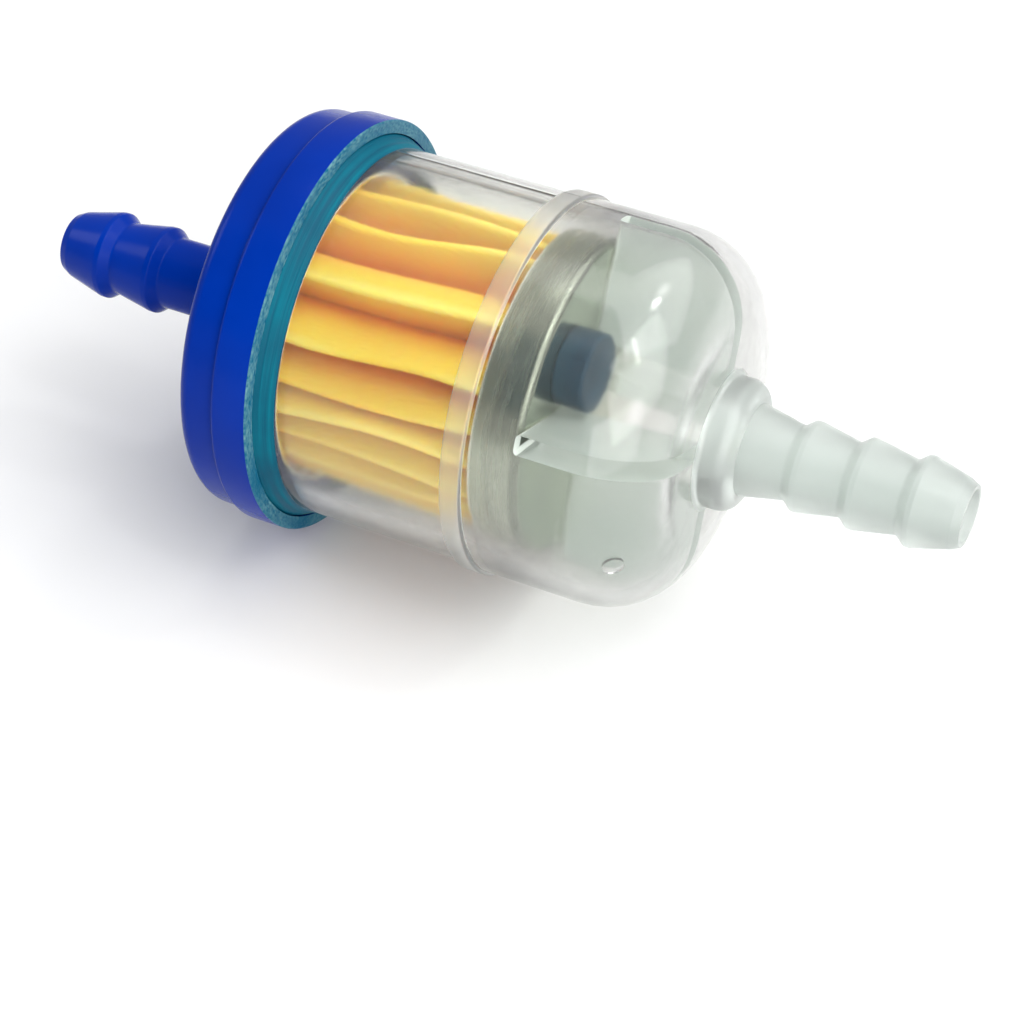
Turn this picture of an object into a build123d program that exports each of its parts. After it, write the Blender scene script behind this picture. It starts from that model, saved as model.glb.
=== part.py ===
from build123d import *
import os
from math import cos, degrees, radians, sin

# In-line hose filter with a magnet. The axis is +X, from the blue cap's hose
# tip to the clear bowl's hose tip, and the origin is the overall centre.
# All sizes are in millimetres.

# Hose nipples: both passages are the same bore, and every barb's crest is a
# narrow cylindrical land that an 8 mm hose grips.
bore_r = 2.5
neck_r = 3.5
crest_r = 4.25
bowl_neck_root_r = 4.35
crest_land = 0.5
barb_shoulder = 0.9
tip_r = 3.3
tip_edge = 0.4
barb_root_fillet = 0.35
barb_fillet = 0.25
tip_x = 46.0
cap_crests_x = [-41.3, -35.9]
bowl_crests_x = [30.75, 36.05, 41.45]

# Blue cap: a drum that carries the nipple, and a wider lip around the bowl.
drum_face_x = -23.1
drum_r = 19.4
drum_edge = 1.3
lip_start_x = -19.2
lip_end_x = -15.5
lip_r = 20.0
lip_edge = 0.4
cap_end_wall = 2.0
cap_cavity_r = 16.2
seat_x = -18.4
spigot_r = 4.5
spigot_end_x = -17.2
spigot_edge = 0.3
cavity_fillet = 0.5
flange_play = 0.05
fine_edge = 0.2

# Clear bowl: flange in the lip, body with one raised bead, domed end, boss.
wall = 1.5
flange_r = 18.75
flange_end_x = -15.9
cone_end_x = -13.8
body_r = 17.7
bead_r = 18.25
bead_x = [3.0, 5.0]
front_body_r = 17.9
dome_x = 14.4
dome_corner = 7.9
boss_r = 6.2
boss_length = 3.1
boss_edge = 1.7
flange_edge = 0.3
cone_fillet = 0.5
bead_edge = 0.25
bead_fillet = 0.15
end_fillet = 0.5
rib_count = 4
rib_first_angle = 67.5
rib_thick = 1.8
rib_inner_r = 6.2
rib_taper = 1.4
rib_corner = 0.6
rib_bite = 0.4
gate_angle = 192.0
gate_slope = 36.0
gate_r = 1.0
gate_proud = 0.35
gate_depth = 0.5

# Filter element: pleated paper between two drawn steel caps.
element_x = [-19.6, 9.2]
steel = 0.4
steel_r = 15.1
steel_side = 4.8
steel_corner = 0.7
potting = 1.1
bed_hole_r = 0.8
spigot_play = 0.4
pleats = 20
pleat_outer_r = 14.5
pleat_inner_r = 8.6
pleat_fold_r = 0.4
paper = 0.35
seam_angle = 337.5
seam_gap = 0.2
clip_sheet = 0.3
clip_depth = 2.4
clip_play = 0.02
core_r = 7.6
core_wall = 0.4
core_hole_r = 0.9
core_hole_rows = 8
core_hole_rings = 7

# Magnet on the element's closed face, and the rubber seal at its open face.
magnet_r = 3.6
magnet_thick = 3.0
magnet_edge = 0.3
magnet_offset_r = 8.6
magnet_angle = 122.0
seal_r = 7.6


def outline(points, radii=None):
    """Closed flat outline of (x, r) points, with a radius for each corner."""
    corners = radii if radii else [0] * len(points)
    return make_face(FilletPolyline(*points, radius=corners, close=True))


def turned(points, radii=None):
    """Solid turned about the filter's axis from an outline."""
    return revolve(outline(points, radii), axis=Axis.X)


def tube(x0, x1, outer, inner):
    """Plain ring about the filter's axis."""
    return turned([(x0, inner), (x1, inner), (x1, outer), (x0, outer)])


def nipple_outline(direction, root_x, root_r, crests):
    """Outer line of a barbed nipple, from its root out to the tip.

    Each barb has its steep shoulder toward the root and tapers toward the tip.
    """
    points = [(root_x, root_r)]
    radii = [0]
    for crest in crests:
        half = crest_land / 2
        points += [
            (crest - direction * (half + barb_shoulder), neck_r),
            (crest - direction * half, crest_r),
            (crest + direction * half, crest_r),
        ]
        radii += [barb_root_fillet, barb_fillet, 0]
    end_x = direction * tip_x
    points += [(end_x - direction * tip_edge * 2, tip_r), (end_x, tip_r - tip_edge)]
    radii += [tip_edge, 0]
    return points, radii


def radial_place(x, r, angle):
    """Place at (x, r, angle) with its local Z along the radius, angle from +Y."""
    a = radians(angle)
    return Plane(origin=(x, r * cos(a), r * sin(a)), x_dir=(1, 0, 0), z_dir=(0, cos(a), sin(a)))


def write(name, solid):
    """Write one node's STEP file."""
    export_step(solid, "parts/" + name + ".step")


def make_cap():
    """Moulded blue cap: nipple, drum, lip and the spigot into the element."""
    crests = cap_crests_x[::-1]
    nipple, nipple_radii = nipple_outline(-1, drum_face_x, neck_r, crests)
    points = nipple[::-1] + [
        (drum_face_x, drum_r),
        (lip_start_x, drum_r),
        (lip_start_x, lip_r),
        (lip_end_x, lip_r),
        (lip_end_x, flange_r + flange_play),
        (seat_x, flange_r + flange_play),
        (seat_x, cap_cavity_r),
        (drum_face_x + cap_end_wall, cap_cavity_r),
        (drum_face_x + cap_end_wall, spigot_r),
        (spigot_end_x, spigot_r),
        (spigot_end_x, bore_r),
        (-tip_x, bore_r),
    ]
    drum_radii = [drum_edge, fine_edge, lip_edge, fine_edge, 0, 0]
    inside_radii = [fine_edge, cavity_fillet, 0, spigot_edge, 0, 0]
    return turned(points, nipple_radii[::-1] + drum_radii + inside_radii)


def bowl_shell():
    """Turned part of the clear bowl, from its flange to its hose tip."""
    end_x = dome_x + dome_corner
    root = (end_x + boss_length, bowl_neck_root_r)
    nipple, nipple_radii = nipple_outline(1, *root, bowl_crests_x)
    outer = [
        (seat_x, flange_r),
        (flange_end_x, flange_r),
        (cone_end_x, body_r),
        (bead_x[0], body_r),
        (bead_x[0], bead_r),
        (bead_x[1], bead_r),
        (bead_x[1], front_body_r),
        (end_x, front_body_r),
        (end_x, boss_r),
        (end_x + boss_length, boss_r),
    ]
    bead_radii = [bead_fillet, bead_edge, fine_edge, bead_fillet]
    outer_radii = [0, flange_edge, cone_fillet] + bead_radii + [dome_corner, end_fillet, boss_edge]
    inner = [
        (tip_x, bore_r),
        (end_x - wall, bore_r),
        (end_x - wall, front_body_r - wall),
        (bead_x[1], front_body_r - wall),
        (bead_x[0], body_r - wall),
        (seat_x, body_r - wall),
    ]
    inner_radii = [0, end_fillet, dome_corner - wall, 0, 0, 0]
    return turned(outer + nipple + inner, outer_radii + nipple_radii + inner_radii)


def dome_inside():
    """Room inside the bowl that a rib may fill, slightly into the wall."""
    end_x = dome_x + dome_corner - wall + rib_bite
    r = front_body_r - wall + rib_bite
    points = [(element_x[1], 0), (end_x, 0), (end_x, r), (element_x[1], r)]
    return turned(points, [0, 0, dome_corner - wall + rib_bite, 0])


def make_bowl():
    """Clear bowl with four ribs that stop the element, and its gate mark."""
    bowl = bowl_shell()
    start_x = element_x[1]
    end_x = dome_x + dome_corner
    side = outline(
        [(start_x, rib_inner_r), (start_x, body_r), (end_x, body_r), (end_x, rib_inner_r - rib_taper)],
        [rib_corner, 0, 0, 0],
    )
    blade = extrude(side, rib_thick / 2, both=True)
    room = dome_inside()
    for i in range(rib_count):
        bowl += Rot(rib_first_angle + i * 360 / rib_count, 0, 0) * blade & room
    x = dome_x + dome_corner * sin(radians(gate_slope))
    r = front_body_r - dome_corner + dome_corner * cos(radians(gate_slope))
    spot = radial_place(x, r, gate_angle) * Rot(0, gate_slope, 0)
    pip = spot * Pos(0, 0, (gate_proud - gate_depth) / 2) * Cylinder(gate_r, gate_proud + gate_depth)
    return bowl + pip


def drawn_cap(face_x, direction, hole_r):
    """Drawn steel end cap: a flat face, a rounded corner and a short side."""
    inner_x = face_x - direction * steel
    rim_x = face_x - direction * steel_side
    points = [
        (face_x, hole_r),
        (face_x, steel_r),
        (rim_x, steel_r),
        (rim_x, steel_r - steel),
        (inner_x, steel_r - steel),
        (inner_x, hole_r),
    ]
    return turned(points, [0, steel_corner, 0, 0, steel_corner - steel, 0])


def fold(r, angle):
    """The two corners of one rounded fold at a radius and angle."""
    half = degrees(pleat_fold_r / r)
    return [(r, angle - half), (r, angle + half)]


def pleat_line():
    """Folded line of the paper across the axis, open at its seam."""
    step = 360 / pleats
    crest = pleat_outer_r - paper / 2
    valley = pleat_inner_r + paper / 2
    end_r = crest - clip_sheet - clip_play
    grip_r = pleat_outer_r - clip_depth - pleat_fold_r
    start = [(end_r, degrees(seam_gap / end_r)), (grip_r, degrees(seam_gap / grip_r))]
    points = list(start)
    for i in range(pleats - 1):
        points += fold(valley, (i + 0.5) * step) + fold(crest, (i + 1) * step)
    points += fold(valley, 360 - step / 2) + [(r, 360 - a) for r, a in reversed(start)]
    seamed = [(r, radians(a + seam_angle)) for r, a in points]
    return [(r * cos(a), r * sin(a)) for r, a in seamed]


def make_paper(x0, x1):
    """Pleated paper pack between the two potting beds."""
    spine = FilletPolyline(*pleat_line(), radius=pleat_fold_r)
    section = Face(Wire(spine.edges()).offset_2d(paper / 2, Kind.ARC, Side.BOTH))
    across = Plane(origin=(x0, 0, 0), x_dir=(0, 1, 0), z_dir=(1, 0, 0))
    return extrude(across * section, x1 - x0)


def make_seam_clip(x0, x1):
    """Folded tin strip that pinches the paper's two ends together."""
    gap = 2 * seam_gap + paper + 2 * clip_play
    width = gap + 2 * clip_sheet
    middle = (x0 + x1) / 2
    place = radial_place(middle, pleat_outer_r - clip_depth / 2, seam_angle)
    strip = Box(x1 - x0, width, clip_depth)
    slot = Pos(0, 0, -clip_sheet) * Box(x1 - x0, gap, clip_depth)
    return place * (strip - slot)


def make_core(x0, x1):
    """Perforated tube that holds the pleats out against the flow."""
    core = tube(x0, x1, core_r, core_r - core_wall)
    pitch = (x1 - x0) / core_hole_rings
    drill = Cylinder(core_hole_r, 4 * core_wall)
    holes = []
    for ring in range(core_hole_rings):
        for row in range(core_hole_rows):
            turn = (row + 0.5 * (ring % 2)) * 360 / core_hole_rows
            place = radial_place(x0 + (ring + 0.5) * pitch, core_r - core_wall / 2, turn)
            holes.append(place * drill)
    return core - holes


def make_magnet():
    """Disc magnet that sits on the closed steel face, off the axis."""
    a = radians(magnet_angle)
    middle = element_x[1] + magnet_thick / 2
    disc = Cylinder(magnet_r, magnet_thick)
    disc = chamfer(disc.edges().filter_by(GeomType.CIRCLE), magnet_edge)
    turn = Rot(0, 90, 0)
    return Pos(middle, magnet_offset_r * cos(a), magnet_offset_r * sin(a)) * turn * disc


open_x, closed_x = element_x
open_bed = open_x + steel + potting
closed_bed = closed_x - steel - potting
hole_r = spigot_r + spigot_play
bed_r = steel_r - steel_corner
seal_x = drum_face_x + cap_end_wall

os.makedirs("parts", exist_ok=True)
write("blue_cap", make_cap())
write("clear_bowl", make_bowl())
write("closed_steel_cap", drawn_cap(closed_x, 1, 0))
write("open_steel_cap", drawn_cap(open_x, -1, hole_r))
write("closed_potting_bed", tube(closed_bed, closed_x - steel, bed_r, bed_hole_r))
write("open_potting_bed", tube(open_x + steel, open_bed, bed_r, hole_r))
write("core_tube", make_core(open_bed, closed_bed))
write("pleated_paper", make_paper(open_bed, closed_bed))
write("seam_clip", make_seam_clip(open_bed, closed_bed))
write("magnet", make_magnet())
write("rubber_seal", tube(seal_x, open_x, seal_r, spigot_r))
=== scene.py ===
import bmesh
import bpy
import random
from math import atan2, cos, pi, radians, sin, tan
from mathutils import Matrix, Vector


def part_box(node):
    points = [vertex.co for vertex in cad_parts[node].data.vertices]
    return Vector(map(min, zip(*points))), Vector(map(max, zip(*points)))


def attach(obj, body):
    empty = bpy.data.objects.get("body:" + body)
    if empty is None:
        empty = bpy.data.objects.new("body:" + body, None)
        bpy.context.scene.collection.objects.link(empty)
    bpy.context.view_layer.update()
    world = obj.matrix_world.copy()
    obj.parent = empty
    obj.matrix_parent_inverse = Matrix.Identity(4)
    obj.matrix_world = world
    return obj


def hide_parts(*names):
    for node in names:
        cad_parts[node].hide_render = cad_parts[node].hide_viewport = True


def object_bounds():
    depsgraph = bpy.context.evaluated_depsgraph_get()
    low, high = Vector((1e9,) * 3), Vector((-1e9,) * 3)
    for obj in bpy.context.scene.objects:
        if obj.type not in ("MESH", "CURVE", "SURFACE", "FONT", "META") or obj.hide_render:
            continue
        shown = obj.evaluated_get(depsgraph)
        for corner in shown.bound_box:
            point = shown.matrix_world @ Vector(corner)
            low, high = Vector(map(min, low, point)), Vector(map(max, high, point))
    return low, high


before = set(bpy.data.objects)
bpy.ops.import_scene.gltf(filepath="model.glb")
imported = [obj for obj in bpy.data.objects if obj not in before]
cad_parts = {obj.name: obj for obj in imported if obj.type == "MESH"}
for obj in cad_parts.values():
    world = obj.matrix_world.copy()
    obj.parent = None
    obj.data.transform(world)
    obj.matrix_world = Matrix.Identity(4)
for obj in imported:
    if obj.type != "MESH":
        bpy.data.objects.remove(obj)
cad_low, cad_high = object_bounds()


# Core tube: thin tinned sheet, perforated and rolled into a tube inside the
# pleats, so that the flow through the paper cannot close them. The CAD shape
# is the real one, so it stays and gets its dull, finely drawn tin surface.
def add_node(tree, kind, inputs=None, **settings):
    """Add one shader node, set its options, and link or fill its inputs."""
    made = tree.nodes.new(kind)
    for option, value in settings.items():
        setattr(made, option, value)
    for socket, value in (inputs or {}).items():
        if isinstance(value, bpy.types.NodeSocket):
            tree.links.new(value, made.inputs[socket])
        else:
            made.inputs[socket].default_value = value
    return made


def open_group(name, inputs, outputs):
    """Start a shader group with named inputs and outputs, and return its two ends."""
    group = bpy.data.node_groups.new(name, "ShaderNodeTree")
    for label, kind, value in inputs:
        socket = group.interface.new_socket(label, in_out="INPUT", socket_type=kind)
        if value is not None:
            socket.default_value = value
    for label, kind in outputs:
        group.interface.new_socket(label, in_out="OUTPUT", socket_type=kind)
    return group, group.nodes.new("NodeGroupInput"), group.nodes.new("NodeGroupOutput")


def new_material(name, **plain):
    """Material with one Principled shader, and its even values set on the sockets."""
    made = bpy.data.materials.new(name)
    made.use_nodes = True
    shader = made.node_tree.nodes["Principled BSDF"]
    for socket, value in plain.items():
        shader.inputs[socket.replace("_", " ")].default_value = value
    return made, made.node_tree, shader


def place_of(tree):
    """The point on the piece, in the frame's own metres."""
    return add_node(tree, "ShaderNodeTexCoord").outputs["Object"]


def use_group(tree, group, **inputs):
    """Place a shared effect in a material with its own values."""
    made = tree.nodes.new("ShaderNodeGroup")
    made.node_tree = group
    for label, value in inputs.items():
        socket = made.inputs[label.replace("_", " ")]
        if isinstance(value, bpy.types.NodeSocket):
            tree.links.new(value, socket)
        else:
            socket.default_value = value
    return made


def mix_colours(tree, mask, low, high):
    """Colour that goes from low to high with a mask."""
    mixed = add_node(tree, "ShaderNodeMix", {"Factor": mask}, data_type="RGBA")
    for socket, value in ((mixed.inputs[6], low), (mixed.inputs[7], high)):
        if isinstance(value, bpy.types.NodeSocket):
            tree.links.new(value, socket)
        else:
            socket.default_value = value
    return mixed.outputs[2]


def spread(tree, mask, low, high):
    """Mask from 0 to 1 stretched to run from low to high."""
    made = add_node(tree, "ShaderNodeMapRange", {"Value": mask, "To Min": low, "To Max": high})
    return made.outputs["Result"]


def bumped(tree, shader, height, depth, strength=1.0):
    """Feed a height to the shader's normal, at a depth in metres."""
    bump = add_node(tree, "ShaderNodeBump", {"Height": height, "Distance": depth, "Strength": strength})
    tree.links.new(bump.outputs["Normal"], shader.inputs["Normal"])


# Grain shared by every finish here: fine noise stretched along the axis,
# around it or neither, read in metres.
grain, ends_in, ends_out = open_group(
    "fine_grain",
    [("Place", "NodeSocketVector", None), ("Per Metre", "NodeSocketFloat", 1000.0),
     ("Along Axis", "NodeSocketFloat", 1.0), ("Around Axis", "NodeSocketFloat", 1.0),
     ("Low", "NodeSocketFloat", 0.3), ("High", "NodeSocketFloat", 0.7)],
    [("Mask", "NodeSocketFloat")],
)
parts_of = add_node(grain, "ShaderNodeSeparateXYZ", {"Vector": ends_in.outputs["Place"]})
y_out, z_out = parts_of.outputs["Y"], parts_of.outputs["Z"]
turn_at = add_node(grain, "ShaderNodeMath", {0: z_out, 1: y_out}, operation="ARCTAN2").outputs[0]
flat = add_node(grain, "ShaderNodeCombineXYZ", {"Y": y_out, "Z": z_out})
out_from = add_node(
    grain, "ShaderNodeVectorMath", {0: flat.outputs["Vector"]}, operation="LENGTH").outputs["Value"]
sideways = add_node(
    grain, "ShaderNodeMath", {0: parts_of.outputs["X"], 1: ends_in.outputs["Along Axis"]},
    operation="MULTIPLY").outputs[0]
shrink = add_node(
    grain, "ShaderNodeMath", {0: out_from, 1: ends_in.outputs["Around Axis"]},
    operation="MULTIPLY").outputs[0]
round_y = add_node(
    grain, "ShaderNodeMath",
    {0: add_node(grain, "ShaderNodeMath", {0: turn_at}, operation="COSINE").outputs[0], 1: shrink},
    operation="MULTIPLY").outputs[0]
round_z = add_node(
    grain, "ShaderNodeMath",
    {0: add_node(grain, "ShaderNodeMath", {0: turn_at}, operation="SINE").outputs[0], 1: shrink},
    operation="MULTIPLY").outputs[0]
slid = add_node(grain, "ShaderNodeMath", {0: sideways, 1: out_from}, operation="ADD").outputs[0]
stretched = add_node(grain, "ShaderNodeCombineXYZ", {"X": slid, "Y": round_y, "Z": round_z})
fine = add_node(
    grain, "ShaderNodeTexNoise",
    {"Vector": stretched.outputs["Vector"], "Scale": ends_in.outputs["Per Metre"], "Detail": 3.0})
held = add_node(
    grain, "ShaderNodeMapRange",
    {"Value": fine.outputs["Fac"], "From Min": ends_in.outputs["Low"], "From Max": ends_in.outputs["High"]})
grain.links.new(held.outputs["Result"], ends_out.inputs["Mask"])


def tin_finish(name, low, high, roughness):
    """Dull tinned sheet with fine drawing lines."""
    made, tree, shader = new_material(name, Metallic=1.0)
    lines = use_group(tree, grain, Place=place_of(tree), Per_Metre=2500.0, Around_Axis=0.1).outputs[0]
    clouds = use_group(tree, grain, Place=place_of(tree), Per_Metre=350.0).outputs[0]
    tree.links.new(mix_colours(tree, clouds, low, high), shader.inputs["Base Color"])
    tree.links.new(spread(tree, lines, roughness, roughness + 0.2), shader.inputs["Roughness"])
    bumped(tree, shader, lines, 0.00002)
    return made


def dress_node(name, material):
    """Give a CAD node that is kept its own finish."""
    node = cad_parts[name]
    node.data.materials.clear()
    node.data.materials.append(material)


core_tin = tin_finish("core_tin", (0.42, 0.42, 0.40, 1), (0.6, 0.6, 0.57, 1), 0.35)
dress_node("core_tube", core_tin)


# Pleated paper: one long strip of resin-treated filter paper, folded into
# twenty pleats and bent into a ring round the core tube. The folds are set by
# hand pressure, so their crests wander and their flanks bulge.
mm = 0.001
pleat_low, pleat_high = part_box("pleated_paper")
paper_start = pleat_low.x
paper_end = pleat_high.x
paper_sheet = 0.35 * mm
crest_r = pleat_high.z - paper_sheet / 2
valley_r = 8.6 * mm + paper_sheet / 2
fold_half = 0.2 * mm
seam_angle = 337.5
front_crests = [79.5, 97.5, 124.5, 147.5, 163.5, 177.0, 192.0, 202.5]
pleat_total = 20
low_gaps = 8
back_gaps = pleat_total - len(front_crests) - low_gaps + 1
low_step = (seam_angle - front_crests[-1]) / low_gaps
back_step = (front_crests[0] + 360 - seam_angle) / back_gaps
crest_angles = front_crests + [front_crests[-1] + low_step * (i + 1) for i in range(low_gaps)]
crest_angles += [seam_angle + back_step * (i + 1) for i in range(back_gaps - 1)]
fold_stations = 15
points_per_pleat = 8


def pressed_into(random_source, size):
    """A small hand-made offset, up to a size either way."""
    return random_source.uniform(-size, size)


def fold_habit(random_source, angle):
    """How one crest wanders along the strip: end offsets, a wave and a dent."""
    at_seam = angle == seam_angle
    free = 0.0 if at_seam else 1.0
    return {
        "angle": angle,
        "start": free * pressed_into(random_source, 3.0),
        "end": free * pressed_into(random_source, 3.0),
        "wave": free * random_source.uniform(0.8, 2.4),
        "turns": random_source.uniform(0.5, 1.1),
        "phase": random_source.uniform(0, 2 * pi),
        "dent": free * random_source.uniform(0.0, 0.9) * mm,
        "dent_phase": random_source.uniform(0, 2 * pi),
        "lean": free * random_source.uniform(0.24, 0.36),
        "hollow": free * random_source.uniform(0.1, 0.35) * mm,
        "belly": free * random_source.uniform(0.11, 0.2),
        "drop": free * random_source.uniform(0.0, 0.9) * mm,
    }


def crest_at(habit, t):
    """Angle in degrees and radius of a crest at t, from 0 to 1 along the strip."""
    turn = habit["start"] * (1 - t) + habit["end"] * t
    turn += habit["wave"] * sin(2 * pi * habit["turns"] * t + habit["phase"])
    dent = habit["dent"] * (0.5 + 0.5 * sin(2 * pi * t * habit["turns"] + habit["dent_phase"]))
    return habit["angle"] + turn, crest_r - dent


def pleat_points(habit, following, t):
    """Points in (angle, radius) from one crest down its flank, and up to the next."""
    a, r = crest_at(habit, t)
    b, next_r = crest_at(following, t)
    if b < a:
        b += 360
    deep = valley_r + habit["drop"] * (0.6 + 0.4 * sin(2 * pi * t + habit["phase"]))
    middle = (a + b) / 2 - habit["lean"] * (b - a)
    wide = fold_half / r * 180 / pi
    deep_wide = fold_half / deep * 180 / pi
    hollow = habit["hollow"] * 180 / pi / ((r + deep) / 2)
    belly = following["belly"] * (b - a)
    line = [(a + wide, r)]
    for share in (0.3, 0.68):
        arch = 4 * share * (1 - share)
        angle = (a + wide) * (1 - share) + (middle - deep_wide) * share - hollow * arch
        line.append((angle, r * (1 - share) + deep * share))
    line += [(middle - deep_wide, deep), (middle + deep_wide, deep)]
    for share in (0.32, 0.7):
        arch = 4 * share * (1 - share)
        angle = (middle + deep_wide) * (1 - share) + (b - wide) * share - belly * arch
        line.append((angle, deep * (1 - share) + next_r * share))
    line.append((b - wide, next_r))
    return line


folding = random.Random(11)
habits = [fold_habit(folding, angle) for angle in crest_angles]
bpy.ops.object.select_all(action="DESELECT")
bpy.ops.mesh.primitive_circle_add(
    vertices=pleat_total * points_per_pleat, radius=crest_r, location=(0, 0, 0), rotation=(0, pi / 2, 0))
paper_pack = bpy.context.object
paper_pack.name = "paper_pack"
bpy.ops.object.transform_apply(rotation=True)
bpy.ops.object.mode_set(mode="EDIT")
bpy.ops.mesh.select_all(action="SELECT")
bpy.ops.transform.translate(value=(paper_start, 0, 0))
ring_step = (paper_end - paper_start) / (fold_stations - 1)
for station in range(fold_stations - 1):
    bpy.ops.mesh.extrude_region_move(TRANSFORM_OT_translate={"value": (ring_step, 0, 0)})
folded = bmesh.from_edit_mesh(paper_pack.data)
by_place = {}
for point in folded.verts:
    station = round((point.co.x - paper_start) / ring_step)
    by_place.setdefault(station, []).append(point)
for station, ring in by_place.items():
    ring.sort(key=lambda point: atan2(point.co.z, point.co.y) % (2 * pi))
    t = station / (fold_stations - 1)
    line = []
    for i, habit in enumerate(habits):
        line += pleat_points(habit, habits[(i + 1) % pleat_total], t)
    for point, (angle, r) in zip(ring, line):
        turn = radians(angle)
        point.co = Vector((point.co.x, r * cos(turn), r * sin(turn)))
bmesh.update_edit_mesh(paper_pack.data)
bpy.ops.mesh.select_all(action="SELECT")
bpy.ops.mesh.normals_make_consistent(inside=False)
bpy.ops.object.mode_set(mode="OBJECT")


def apply_modifier(piece, kind, **settings):
    """Add one modifier with its settings and apply it at once."""
    bpy.ops.object.select_all(action="DESELECT")
    piece.select_set(True)
    bpy.context.view_layer.objects.active = piece
    made = piece.modifiers.new(kind.lower(), kind)
    for option, value in settings.items():
        setattr(made, option, value)
    bpy.ops.object.modifier_apply(modifier=made.name)


apply_modifier(paper_pack, "SUBSURF", levels=2, render_levels=2)
apply_modifier(paper_pack, "SOLIDIFY", thickness=paper_sheet, offset=0.0)
bpy.ops.object.shade_smooth_by_angle(angle=radians(50))



def rising(tree, value, start, end, top=1.0):
    """Mask that goes from 0 to its top as a value goes from start to end."""
    made = add_node(
        tree, "ShaderNodeMapRange", {"Value": value, "From Min": start, "From Max": end, "To Max": top})
    return made.outputs["Result"]


# Cream and amber are the paper's own yellow, spread apart to paint the shade in the folds; the pale crest
# colour is a painted highlight.
paper_cream = (0.98, 0.53, 0.045, 1)
paper_amber = (0.96, 0.28, 0.004, 1)
crest_highlight_colour = (0.99, 0.78, 0.36, 1)
fibre_straw = (0.97, 0.72, 0.22, 1)
paper_yellow, tree, shader = new_material(
    "paper_yellow", Subsurface_Weight=0.7, Subsurface_Radius=(0.004, 0.0018, 0.0004),
    Subsurface_Scale=1.0, Specular_IOR_Level=0.25, Roughness=0.75)
spot = place_of(tree)
across = add_node(tree, "ShaderNodeSeparateXYZ", {"Vector": spot})
flat = add_node(tree, "ShaderNodeCombineXYZ", {"Y": across.outputs["Y"], "Z": across.outputs["Z"]})
reach = add_node(
    tree, "ShaderNodeVectorMath", {0: flat.outputs["Vector"]}, operation="LENGTH").outputs["Value"]
fade = use_group(tree, grain, Place=spot, Per_Metre=120.0, Along_Axis=0.35).outputs[0]
fibre = use_group(tree, grain, Place=spot, Per_Metre=2600.0, Along_Axis=0.45).outputs[0]
# Painted shade: the paper is painted deep amber down in the valleys and pale cream out at the crests, with
# a slow random tone on top.
depth = rising(tree, reach, valley_r + 1.0 * mm, crest_r)
uneven = add_node(
    tree, "ShaderNodeMath", {0: fade, 1: -0.25, 2: 0.12}, operation="MULTIPLY_ADD").outputs[0]
# Painted shade: the paper is painted more amber towards the bottom of the pack.
painted_low_shade = rising(tree, across.outputs["Z"], 6 * mm, -8 * mm, -0.45)
painted_shade_and_tone = add_node(tree, "ShaderNodeMath", {0: depth, 1: uneven}, operation="ADD").outputs[0]
painted_shade_and_tone = add_node(tree, "ShaderNodeMath", {0: painted_shade_and_tone, 1: painted_low_shade}, operation="ADD").outputs[0]
body = mix_colours(tree, painted_shade_and_tone, paper_amber, paper_cream)
# Painted highlight: a thin pale line along the outermost edge of each crest.
crest_highlight = rising(tree, reach, crest_r - 0.55 * mm, crest_r - 0.1 * mm, 0.2)
body = mix_colours(tree, crest_highlight, body, crest_highlight_colour)
fleck = mix_colours(tree, spread(tree, fibre, 0.0, 0.14), body, fibre_straw)
tree.links.new(fleck, shader.inputs["Base Color"])
tree.links.new(spread(tree, fibre, 0.62, 0.85), shader.inputs["Roughness"])
bumped(tree, shader, fibre, 0.00004)


def place_piece(piece, node, material):
    """Dress a finished piece, let it ride on the body, and stand it for its CAD node."""
    if material:
        piece.data.materials.append(material)
    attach(piece, "root")
    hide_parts(node)


place_piece(paper_pack, "pleated_paper", paper_yellow)


# Seam clip: a strip of the same tin, folded to a U and pinched over the two
# ends of the paper. The CAD strip stays, with the tin's finish.
dress_node("seam_clip", tin_finish("clip_tin", (0.48, 0.48, 0.46, 1), (0.66, 0.66, 0.62, 1), 0.3))


# Potting beds: two-part resin poured into each steel cap, which grips the
# ends of the paper and the core tube as it sets. Amber and slightly waxy.
potting_resin, tree, shader = new_material(
    "potting_resin", Subsurface_Weight=0.2, Subsurface_Radius=(0.001, 0.0006, 0.0003),
    Subsurface_Scale=1.0)
poured = use_group(tree, grain, Place=place_of(tree), Per_Metre=260.0).outputs[0]
specks = use_group(tree, grain, Place=place_of(tree), Per_Metre=1800.0, Low=0.45).outputs[0]
tree.links.new(
    mix_colours(tree, poured, (0.50, 0.33, 0.12, 1), (0.68, 0.50, 0.24, 1)), shader.inputs["Base Color"])
tree.links.new(spread(tree, poured, 0.28, 0.5), shader.inputs["Roughness"])
bumped(tree, shader, specks, 0.00005)
for bed in ("closed_potting_bed", "open_potting_bed"):
    dress_node(bed, potting_resin)


# Steel caps: two shallow cups drawn from tinned steel sheet, one plain and
# one with a hole for the cap's spigot. Their sides keep the fine lines of
# the drawing die, and the cut rims are left bright.
closed_low, closed_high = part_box("closed_steel_cap")
open_low, open_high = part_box("open_steel_cap")
sheet = 0.4
cup_r = closed_high.z / mm
cup_corner = 0.7
cup_lip = 0.08
spigot_hole_r = 4.9
face_fade = (0.06 * mm, 0.01 * mm)
corner_fade = (0.9 * mm, 0.5 * mm)
rim_fade = (0.24 * mm, 0.14 * mm)
round_steps = 160
close_enough = 0.000001


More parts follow.
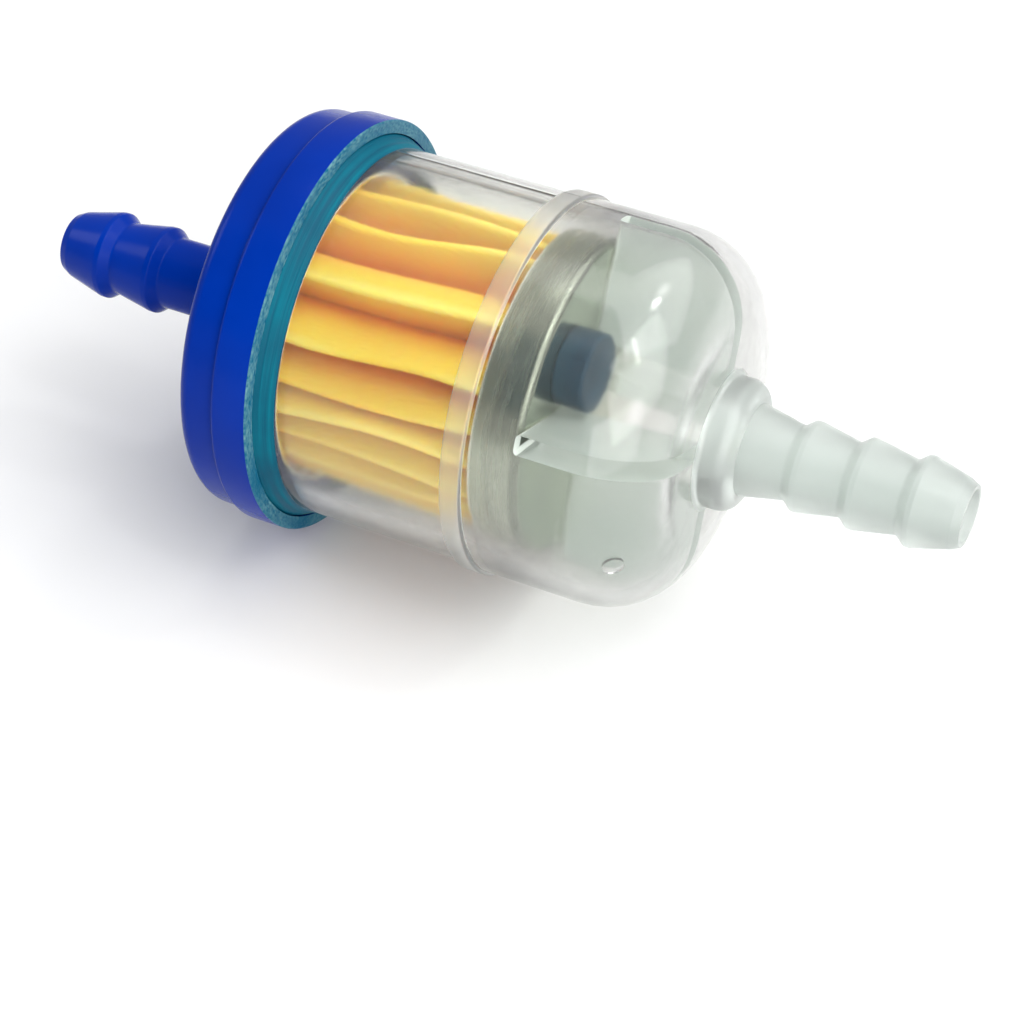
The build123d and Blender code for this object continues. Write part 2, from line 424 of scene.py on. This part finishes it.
def choose(piece, test, kind="verts"):
    """Select the points, edges or faces of the piece in hand whose middle passes a test."""
    bpy.ops.mesh.select_mode(type={"verts": "VERT", "edges": "EDGE", "faces": "FACE"}[kind])
    bpy.ops.mesh.select_all(action="DESELECT")
    shape = bmesh.from_edit_mesh(piece.data)
    for item in getattr(shape, kind):
        if kind == "verts":
            middle = item.co
        elif kind == "edges":
            middle = (item.verts[0].co + item.verts[1].co) / 2
        else:
            middle = item.calc_center_median()
        item.select_set(test(middle))
    shape.select_flush_mode()
    bmesh.update_edit_mesh(piece.data)


def near_any(places):
    """Test for a point that lies on one of these places."""
    return lambda point: any((point - place).length < close_enough for place in places)


def draw_line(name, points, closed=True, arc_steps=6):
    """Draw an outline over the axis, point by point, and round its corners.

    Each point is (x, radius, corner radius) in millimetres. The piece is left
    in edit mode.
    """
    bpy.ops.object.select_all(action="DESELECT")
    bpy.ops.mesh.primitive_plane_add(size=mm, location=(0, 0, 0))
    piece = bpy.context.object
    piece.name = name
    piece.data.name = name
    bpy.ops.object.mode_set(mode="EDIT")
    bpy.ops.mesh.select_mode(type="VERT")
    bpy.ops.mesh.select_all(action="SELECT")
    bpy.ops.mesh.merge(type="CENTER")
    places = [Vector((x, 0, r)) * mm for x, r, corner in points]
    bpy.ops.transform.translate(value=places[0])
    for start, end in zip(places, places[1:]):
        bpy.ops.mesh.extrude_region_move(TRANSFORM_OT_translate={"value": end - start})
    if closed:
        choose(piece, near_any([places[0], places[-1]]))
        bpy.ops.mesh.edge_face_add()
    for i, (x, r, corner) in enumerate(points):
        if corner:
            before = places[i] - places[i - 1]
            after = places[(i + 1) % len(places)] - places[i]
            cut = corner * mm * tan(before.angle(after) / 2)
            choose(piece, near_any([places[i]]))
            bpy.ops.mesh.bevel(offset=cut, segments=max(2, arc_steps), affect="VERTICES")
    return piece


def turn_piece(piece, smooth=35):
    """Turn the outline in hand about the axis and close its seam."""
    bpy.ops.mesh.select_all(action="SELECT")
    bpy.ops.mesh.spin(steps=round_steps, angle=2 * pi, center=(0, 0, 0), axis=(1, 0, 0))
    bpy.ops.mesh.select_all(action="SELECT")
    bpy.ops.mesh.remove_doubles(threshold=close_enough)
    bpy.ops.mesh.normals_make_consistent(inside=False)
    bpy.ops.object.mode_set(mode="OBJECT")
    bpy.ops.object.shade_smooth_by_angle(angle=radians(smooth))


def draw_cup(name, face, rim, hole_r):
    """Shallow cup from its face to its rim, in millimetres along the axis."""
    inside = face + sheet * (1 if rim > face else -1)
    points = [
        (face, hole_r, 0), (face, cup_r, cup_corner), (rim, cup_r, cup_lip), (rim, cup_r - sheet, cup_lip),
        (inside, cup_r - sheet, cup_corner - sheet), (inside, hole_r, 0),
    ]
    cup = draw_line(name, points, closed=hole_r > 0)
    turn_piece(cup)
    return cup


drawn_steel, tree, shader = new_material("drawn_steel", Metallic=1.0)
spot = place_of(tree)
scores = use_group(tree, grain, Place=spot, Per_Metre=3500.0, Along_Axis=0.06, Low=0.35).outputs[0]
rings = use_group(tree, grain, Place=spot, Per_Metre=6000.0, Around_Axis=0.03, Low=0.35).outputs[0]
bloom = use_group(tree, grain, Place=spot, Per_Metre=160.0).outputs[0]
worn = mix_colours(tree, bloom, (0.47, 0.51, 0.42, 1), (0.56, 0.60, 0.48, 1))
lined = mix_colours(tree, spread(tree, rings, 0.0, 0.08), worn, (0.80, 0.82, 0.68, 1))
along = add_node(tree, "ShaderNodeSeparateXYZ", {"Vector": spot}).outputs["X"]
on_face = rising(tree, along, closed_high.x - face_fade[0], closed_high.x - face_fade[1])
past_side = rising(tree, along, closed_high.x - corner_fade[0], closed_high.x - corner_fade[1])
on_corner = add_node(tree, "ShaderNodeMath", {0: past_side, 1: on_face}, operation="SUBTRACT").outputs[0]
on_rim = rising(tree, along, closed_low.x + rim_fade[0], closed_low.x + rim_fade[1])
# Painted shade: the rounded corner between side and face is painted dark, which dims its highlight.
painted_corner_shade = mix_colours(tree, spread(tree, on_corner, 0.0, 0.6), lined, (0.16, 0.18, 0.15, 1))
tree.links.new(mix_colours(tree, on_rim, painted_corner_shade, (0.98, 0.97, 0.86, 1)), shader.inputs["Base Color"])
dull = add_node(
    tree, "ShaderNodeMath", {0: rings, 1: 0.08, 2: spread(tree, on_face, 0.22, 0.12)},
    operation="MULTIPLY_ADD").outputs[0]
tree.links.new(dull, shader.inputs["Roughness"])
both = add_node(tree, "ShaderNodeMath", {0: scores, 1: rings}, operation="ADD").outputs[0]
bumped(tree, shader, both, 0.00000013)

closed_cup = draw_cup("closed_steel_cup", closed_high.x / mm, closed_low.x / mm, 0)
place_piece(closed_cup, "closed_steel_cap", drawn_steel)
open_cup = draw_cup("open_steel_cup", open_low.x / mm, open_high.x / mm, spigot_hole_r)
place_piece(open_cup, "open_steel_cap", drawn_steel)


# Magnet: a pressed and sintered ferrite disc with ground faces and small
# broken edges. It holds itself to the closed steel face, off the axis.
magnet_low, magnet_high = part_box("magnet")
magnet_middle = (magnet_low + magnet_high) / 2
magnet_r = (magnet_high.z - magnet_low.z) / 2
magnet_edge = 0.3 * mm
ground_ring = 0.8 * mm
bpy.ops.object.select_all(action="DESELECT")
bpy.ops.mesh.primitive_cylinder_add(
    vertices=96, radius=magnet_r, depth=magnet_high.x - magnet_low.x,
    location=magnet_middle, rotation=(0, pi / 2, 0))
disc = bpy.context.object
disc.name = "ferrite_disc"
bpy.ops.object.transform_apply(location=True, rotation=True)
bpy.ops.object.mode_set(mode="EDIT")
for face_x in (magnet_low.x, magnet_high.x):
    choose(disc, lambda middle: abs(middle.x - face_x) < close_enough, "faces")
    bpy.ops.mesh.inset(thickness=ground_ring)


def on_disc_edge(middle):
    """On the outer edge of either face of the disc."""
    half_thick = (magnet_high.x - magnet_low.x) / 2
    return (
        (middle - magnet_middle).yz.length > magnet_r * 0.99
        and abs(abs(middle.x - magnet_middle.x) - half_thick) < close_enough)


choose(disc, on_disc_edge, "edges")
bpy.ops.mesh.bevel(offset=magnet_edge, segments=3, profile=0.6)
bpy.ops.object.mode_set(mode="OBJECT")
bpy.ops.object.shade_smooth_by_angle(angle=radians(40))
sintered, tree, shader = new_material("sintered_ferrite", Metallic=0.35)
spot = place_of(tree)
pores = use_group(tree, grain, Place=spot, Per_Metre=4200.0, Low=0.35).outputs[0]
sheen = use_group(tree, grain, Place=spot, Per_Metre=240.0).outputs[0]
tree.links.new(
    mix_colours(tree, sheen, (0.003, 0.030, 0.058, 1), (0.014, 0.058, 0.095, 1)),
    shader.inputs["Base Color"])
tree.links.new(spread(tree, pores, 0.34, 0.5), shader.inputs["Roughness"])
bumped(tree, shader, pores, 0.00002)
place_piece(disc, "magnet", sintered)


# Rubber seal: a flat nitrile ring on the cap's spigot, squeezed against the
# open steel face. Black, with a faint bloom from the mould.
nitrile, tree, shader = new_material("nitrile", Specular_IOR_Level=0.35)
bloom = use_group(tree, grain, Place=place_of(tree), Per_Metre=900.0).outputs[0]
tree.links.new(
    mix_colours(tree, bloom, (0.012, 0.012, 0.013, 1), (0.03, 0.03, 0.032, 1)), shader.inputs["Base Color"])
tree.links.new(spread(tree, bloom, 0.5, 0.7), shader.inputs["Roughness"])
bumped(tree, shader, bloom, 0.00002)
dress_node("rubber_seal", nitrile)


# Clear bowl: one injection moulding in natural, slightly milky plastic, with
# a flange, one raised bead, a domed end, four ribs that stop the element, a
# boss and a hose nipple. It is milkier where it is thicker, and stained blue
# at the weld. Two faint parting lines run along it.
bowl_low, bowl_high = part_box("clear_bowl")
tip_x = bowl_high.x / mm
bore_r = 2.5
neck_r = 3.5
barb_r = 4.25
barb_land = 0.5
barb_shoulder = 0.9
tip_r = 3.3
tip_edge = 0.4
bowl_barbs = [30.75, 36.05, 41.45]
seat_x = bowl_low.x / mm
flange_r = bowl_high.z / mm
flange_end_x = -15.9
cone_end_x = -13.8
wall = 1.5
body_r = 17.7
bead_start_x = 3.0
bead_end_x = 5.0
bead_r = 18.25
front_r = 17.9
dome_end_x = 22.3
dome_corner = 7.9
boss_r = 6.2
boss_end_x = 25.4
boss_edge = 1.7
nipple_root_r = 4.35
rib_start_x = closed_high.x / mm
rib_thick = 1.8
rib_round = 0.4
rib_first_angle = 67.5
rib_inner_r = 6.2
rib_taper = 1.4
gate_angle = 192.0
gate_slope = 36.0
gate_r = 1.0
gate_height = 0.5
gate_ring = 0.35
gate_dish = 0.08
gate_bite = 0.05
parting_width = 0.16 * mm
parting_height = 0.05 * mm
parting_start_x = cone_end_x + 0.6
parting_end_x = dome_end_x - 2.0
outer_wall_r = body_r - wall + 0.3
thick_start_x = dome_end_x - 0.35
thick_end_r = boss_r + 0.6


def barbed(direction, barbs, end_x):
    """Outline of a hose nipple from its first barb to its tip."""
    points = []
    half = barb_land / 2
    for barb in barbs:
        points += [
            (barb - direction * (half + barb_shoulder), neck_r, 0.35),
            (barb - direction * half, barb_r, 0.3),
            (barb + direction * half, barb_r, 0.3),
        ]
    return points + [(end_x - direction * tip_edge * 2, tip_r, tip_edge), (end_x, tip_r - tip_edge, 0)]


bowl_outline = [
    (seat_x, flange_r, 0), (flange_end_x, flange_r, 0.3), (cone_end_x, body_r, 0.5),
    (bead_start_x, body_r, 0.15), (bead_start_x, bead_r, 0.25), (bead_end_x, bead_r, 0.2),
    (bead_end_x, front_r, 0.12), (dome_end_x, front_r, dome_corner), (dome_end_x, boss_r, 0.5),
    (boss_end_x, boss_r, boss_edge), (boss_end_x, nipple_root_r, 0),
]
bowl_outline += barbed(1, bowl_barbs, tip_x)
bowl_outline += [
    (tip_x, bore_r, 0), (dome_end_x - wall, bore_r, 0.5),
    (dome_end_x - wall, front_r - wall, dome_corner - wall), (bead_end_x, front_r - wall, 0),
    (bead_start_x, body_r - wall, 0), (seat_x, body_r - wall, 0),
]


def clear_plastic(name, low, high, transmission, roughness, haze, veil, grains=90.0, around=1.0):
    """Natural moulding plastic, from clear wall to frosted or stained, by its values."""
    made, tree, shader = new_material(
        name, IOR=1.49, Transmission_Weight=transmission, Subsurface_Weight=haze,
        Subsurface_Radius=(0.003, 0.003, 0.003), Subsurface_Scale=1.0,
        Sheen_Weight=veil, Sheen_Roughness=0.2, Sheen_Tint=(0.90, 0.92, 0.86, 1))
    spot = place_of(tree)
    flow = use_group(
        tree, grain, Place=spot, Per_Metre=grains, Along_Axis=0.5, Around_Axis=around).outputs[0]
    peel = use_group(tree, grain, Place=spot, Per_Metre=420.0, Low=0.2, High=0.8).outputs[0]
    tree.links.new(mix_colours(tree, flow, low, high), shader.inputs["Base Color"])
    tree.links.new(spread(tree, flow, roughness, roughness + 0.05), shader.inputs["Roughness"])
    bumped(tree, shader, peel, 0.00001)
    shade = add_node(tree, "ShaderNodeBsdfTransparent", {"Color": (0.97, 0.972, 0.962, 1)})
    path = add_node(tree, "ShaderNodeLightPath")
    blend = add_node(tree, "ShaderNodeMixShader", {"Fac": path.outputs["Is Shadow Ray"]})
    tree.links.new(shader.outputs["BSDF"], blend.inputs[1])
    tree.links.new(shade.outputs["BSDF"], blend.inputs[2])
    tree.links.new(blend.outputs["Shader"], tree.nodes["Material Output"].inputs["Surface"])
    return made


def weld_finish(name, low, high, per_metre, around):
    """Plastic melted in the spin weld: stained blue, worn in rings or in specks."""
    made, tree, shader = new_material(name, IOR=1.49, Specular_IOR_Level=0.1)
    spot = place_of(tree)
    specks = use_group(
        tree, grain, Place=spot, Per_Metre=per_metre, Around_Axis=around, Low=0.35, High=0.65).outputs[0]
    patches = use_group(tree, grain, Place=spot, Per_Metre=120.0, Low=0.35, High=0.6).outputs[0]
    dust = add_node(tree, "ShaderNodeMath", {0: specks, 1: patches}, operation="MULTIPLY").outputs[0]
    tree.links.new(mix_colours(tree, dust, low, high), shader.inputs["Base Color"])
    tree.links.new(spread(tree, dust, 0.35, 0.7), shader.inputs["Roughness"])
    bumped(tree, shader, specks, 0.00003)
    return made


thin_wall = clear_plastic(
    "milky_thin_wall", (0.93, 0.94, 0.90, 1), (0.96, 0.965, 0.93, 1), 0.985, 0.10, 0.0, 0.3)
dome_wall = clear_plastic(
    "milky_dome", (0.80, 0.80, 0.785, 1), (0.84, 0.84, 0.825, 1), 0.985, 0.11, 0.0, 0.4)
thick_part = clear_plastic(
    "milky_thick", (0.56, 0.60, 0.575, 1), (0.62, 0.66, 0.635, 1), 0.7, 0.3, 0.5, 0.2)
rib_plastic = clear_plastic(
    "milky_rib", (0.51, 0.575, 0.54, 1), (0.59, 0.64, 0.605, 1), 0.5, 0.18, 0.5, 0.1)
# Painted light: the rounded free ends of the ribs get an opaque, paler finish that stands in for their
# bright look and hides the dark seen through them.
pale_rib_end = clear_plastic(
    "pale_opaque_rib_end", (0.66, 0.72, 0.68, 1), (0.74, 0.79, 0.75, 1), 0.0, 0.4, 0.3, 0.0)
frosted = clear_plastic(
    "frosted_bead", (0.86, 0.88, 0.85, 1), (0.91, 0.93, 0.90, 1), 0.87, 0.3, 0.25, 0.4, 900.0, 0.3)
weld_root = weld_finish("weld_root", (0.0, 0.07, 0.12, 1), (0.0, 0.135, 0.19, 1), 5000.0, 0.01)
bowl = draw_line("bowl", bowl_outline, arc_steps=10)
turn_piece(bowl)
bpy.ops.object.mode_set(mode="EDIT")
for line_angle in (rib_first_angle, rib_first_angle + 180):
    out = Vector((0, cos(radians(line_angle)), sin(radians(line_angle))))
    side = out.cross(Vector((1, 0, 0)))

    def on_line(point):
        """On the outer wall, where the two mould halves meet."""
        return (
            abs(point.dot(side)) < close_enough and point.dot(out) > outer_wall_r * mm
            and parting_start_x * mm < point.x < parting_end_x * mm)

    choose(bowl, on_line, "edges")
    bpy.ops.mesh.bevel(offset=parting_width / 2, segments=2)
    choose(bowl, on_line)
    bpy.ops.transform.translate(value=out * parting_height)
bpy.ops.object.mode_set(mode="OBJECT")
for finish in (thin_wall, thick_part, frosted, weld_root, dome_wall):
    bowl.data.materials.append(finish)
for face in bowl.data.polygons:
    x, r = face.center.x / mm, face.center.yz.length / mm
    if x > thick_start_x and r < thick_end_r:
        face.material_index = 1
    elif r > body_r + 0.03 and bead_start_x - 0.1 < x < bead_end_x + 0.3:
        face.material_index = 2
    elif r > body_r - wall + 0.1 and x < cone_end_x:
        face.material_index = 3
    elif x > bead_end_x:
        face.material_index = 4


def turn_in_hand(degrees_turned):
    """Turn what is selected in edit mode about the filter's axis."""
    bpy.ops.transform.rotate(
        value=-radians(degrees_turned), orient_axis="X", orient_type="GLOBAL", center_override=(0, 0, 0))


def join_to(piece, other):
    """Weld another closed piece into this one, and drop the other."""
    apply_modifier(
        piece, "BOOLEAN", object=other, operation="UNION", solver="EXACT", material_mode="TRANSFER")
    bpy.data.objects.remove(other)


def on_rib_end(middle):
    """On one of the two long edges of a rib's free end."""
    return (
        abs(middle.x - rib_start_x * mm) < close_enough
        and abs(abs(middle.y) - rib_thick / 2 * mm) < close_enough)


dome_middle_x = dome_end_x - dome_corner
dome_middle_r = front_r - dome_corner
in_wall = 0.75
rib_total = 4
pale_end_x = rib_start_x + rib_round + 0.02
for i in range(rib_total):
    rib_outline = [
        (rib_start_x, rib_inner_r, 0.6), (rib_start_x, front_r - in_wall, 0),
        (dome_end_x - in_wall, front_r - in_wall, dome_corner - in_wall),
        (dome_end_x - in_wall, rib_inner_r - rib_taper, 0),
    ]
    rib = draw_line("rib", rib_outline, arc_steps=8)
    bpy.ops.mesh.select_all(action="SELECT")
    bpy.ops.mesh.edge_face_add()
    bpy.ops.transform.translate(value=(0, -rib_thick / 2 * mm, 0))
    bpy.ops.mesh.extrude_region_move(TRANSFORM_OT_translate={"value": (0, rib_thick * mm, 0)})
    choose(rib, on_rib_end, "edges")
    bpy.ops.mesh.bevel(offset=rib_round * mm, segments=4)
    bpy.ops.mesh.select_all(action="SELECT")
    turn_in_hand(rib_first_angle - 90 + i * 360 / rib_total)
    bpy.ops.mesh.normals_make_consistent(inside=False)
    bpy.ops.object.mode_set(mode="OBJECT")
    rib.data.materials.append(rib_plastic)
    rib.data.materials.append(pale_rib_end)
    # Painted light: faces at the free end of the rib take the opaque pale finish.
    for face in rib.data.polygons:
        if face.center.x < pale_end_x * mm:
            face.material_index = 1
    join_to(bowl, rib)

slope = radians(gate_slope)
pip_reach = dome_corner - gate_bite
pip_x = (dome_middle_x + pip_reach * sin(slope)) * mm
pip_r = (dome_middle_r + pip_reach * cos(slope)) * mm
bpy.ops.object.select_all(action="DESELECT")
bpy.ops.mesh.primitive_cylinder_add(
    vertices=32, radius=gate_r * mm, depth=gate_height * mm, location=(0, 0, 0))
pip = bpy.context.object
pip.data.materials.append(dome_wall)
bpy.ops.object.mode_set(mode="EDIT")
choose(pip, lambda middle: middle.z > gate_height / 3 * mm, "faces")
bpy.ops.mesh.inset(thickness=gate_ring * mm)
bpy.ops.transform.translate(value=(0, 0, -gate_dish * mm))
bpy.ops.mesh.select_all(action="SELECT")
bpy.ops.transform.rotate(
    value=-slope, orient_axis="Y", orient_type="GLOBAL", center_override=(0, 0, 0))
bpy.ops.transform.translate(value=(pip_x, 0, pip_r))
turn_in_hand(gate_angle - 90)
bpy.ops.object.mode_set(mode="OBJECT")
join_to(bowl, pip)
bpy.ops.object.shade_smooth_by_angle(angle=radians(30))
place_piece(bowl, "clear_bowl", None)


# Blue cap: the same plastic, coloured through, moulded as a drum with a hose
# nipple outside, a spigot inside and a lip that is spun on to the bowl's
# flange until the two melt together.
cap_low, cap_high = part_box("blue_cap")
cap_tip_x = cap_low.x / mm
lip_r = cap_high.z / mm
lip_end_x = cap_high.x / mm
cap_barbs = [-35.9, -41.3]
drum_face_x = -23.1
drum_r = 19.4
lip_start_x = -19.2
cavity_r = 16.2
cap_wall = 2.0
spigot_r = 4.5
spigot_end_x = -17.2
melt = 0.02
scuff_depth = 0.25
cap_outline = [(drum_face_x, neck_r, 0)] + barbed(-1, cap_barbs, cap_tip_x)
cap_outline += [
    (cap_tip_x, bore_r, 0), (spigot_end_x, bore_r, 0), (spigot_end_x, spigot_r, 0.3),
    (drum_face_x + cap_wall, spigot_r, 0), (drum_face_x + cap_wall, cavity_r, 0.5),
    (seat_x + melt, cavity_r, 0.2), (seat_x + melt, flange_r - melt, 0), (lip_end_x, flange_r - melt, 0),
    (lip_end_x, lip_r, 0.15), (lip_start_x, lip_r, 0.4), (lip_start_x, drum_r, 0.2),
    (drum_face_x, drum_r, 1.3),
]
cap = draw_line("cap", cap_outline, arc_steps=8)
turn_piece(cap)
blue, tree, shader = new_material("blue_plastic", IOR=1.49, Specular_IOR_Level=0.08)
spot = place_of(tree)
swirl = use_group(tree, grain, Place=spot, Per_Metre=70.0).outputs[0]
peel = use_group(tree, grain, Place=spot, Per_Metre=700.0, Low=0.2, High=0.8).outputs[0]
tree.links.new(
    mix_colours(tree, swirl, (0.0, 0.021, 0.245, 1), (0.0, 0.028, 0.31, 1)), shader.inputs["Base Color"])
tree.links.new(spread(tree, peel, 0.16, 0.26), shader.inputs["Roughness"])
bumped(tree, shader, peel, 0.00001)
scuffed = weld_finish("scuffed_weld", (0.0, 0.09, 0.17, 1), (0.11, 0.25, 0.28, 1), 3800.0, 0.5)
cap.data.materials.append(blue)
cap.data.materials.append(scuffed)
for face in cap.data.polygons:
    if face.center.x > (lip_end_x - scuff_depth) * mm:
        face.material_index = 1
place_piece(cap, "blue_cap", None)


# Studio: a plain white table just under the filter, soft light from behind
# and above, from the right and low in front, a little from the left, and a
# long lens that looks down along the bowl.
floor_z = cad_low.z
bpy.ops.object.select_all(action="DESELECT")
bpy.ops.mesh.primitive_plane_add(size=4.0, location=(0, 0, floor_z))
table = bpy.context.object
table.name = "white_table"
white, tree, shader = new_material("white_table_top", Specular_IOR_Level=0.1)
cloud = add_node(
    tree, "ShaderNodeTexNoise", {"Vector": place_of(tree), "Scale": 30.0, "Detail": 2.0}).outputs["Fac"]
tree.links.new(
    mix_colours(tree, cloud, (0.73, 0.73, 0.73, 1), (0.75, 0.75, 0.75, 1)), shader.inputs["Base Color"])
tree.links.new(spread(tree, cloud, 0.8, 0.9), shader.inputs["Roughness"])
table.data.materials.append(white)

world = bpy.data.worlds.new("studio")
bpy.context.scene.world = world
world.use_nodes = True
world.node_tree.nodes["Background"].inputs["Color"].default_value = (1, 1, 1, 1)
world.node_tree.nodes["Background"].inputs["Strength"].default_value = 0.45

aim = Vector((0.0049, -0.0072, -0.0097))


def from_aim(azimuth, elevation, distance):
    """Place at a distance from the aim, with azimuth 0 in front and + toward +X."""
    turn, lift = radians(azimuth), radians(elevation)
    return aim + distance * Vector((sin(turn) * cos(lift), -cos(turn) * cos(lift), sin(lift)))


def add_light(name, azimuth, elevation, distance, width, height, power):
    """Soft light that faces the filter."""
    lamp = bpy.data.lights.new(name, "AREA")
    lamp.shape = "RECTANGLE"
    lamp.size = width
    lamp.size_y = height
    lamp.energy = power
    holder = bpy.data.objects.new(name, lamp)
    holder.location = from_aim(azimuth, elevation, distance)
    holder.rotation_euler = (aim - holder.location).to_track_quat("-Z", "Y").to_euler()
    bpy.context.scene.collection.objects.link(holder)


add_light("back_softbox", 140, 62, 0.9, 1.1, 1.1, 6.4)
add_light("fill_softbox", 65, 45, 0.8, 0.9, 0.9, 6.0)
add_light("sparkle_lamp", 140, 62, 0.8, 0.06, 0.1, 0.45)
add_light("front_softbox", 40, 12, 0.8, 0.9, 0.6, 3.4)
add_light("left_softbox", -80, 35, 0.8, 0.3, 0.3, 1.0)
add_light("strip_lamp", 70, 62, 0.8, 0.02, 0.3, 0.4)

# A dark card stands where the maker would: the steel and the bowl mirror it.
bpy.ops.object.select_all(action="DESELECT")
bpy.ops.mesh.primitive_plane_add(size=0.46)
card = bpy.context.object
card.name = "black_card"
card.location = from_aim(-26, 43, 0.5)
card.rotation_euler = (aim - card.location).to_track_quat("-Z", "Y").to_euler()
card.visible_camera = False
dark_paper, tree, shader = new_material("black_card", Base_Color=(0.02, 0.06, 0.085, 1), Roughness=0.9)
card.data.materials.append(dark_paper)

lens = bpy.data.cameras.new("view")
lens.lens = 103.9
lens.sensor_width = 36.0
lens.clip_start = 0.01
viewer = bpy.data.objects.new("view", lens)
viewer.location = from_aim(26.0, 41.5, 0.2739)
viewer.rotation_euler = (aim - viewer.location).to_track_quat("-Z", "Y").to_euler()
bpy.context.scene.collection.objects.link(viewer)
bpy.context.scene.camera = viewer
bpy.context.scene.view_settings.view_transform = "Standard"
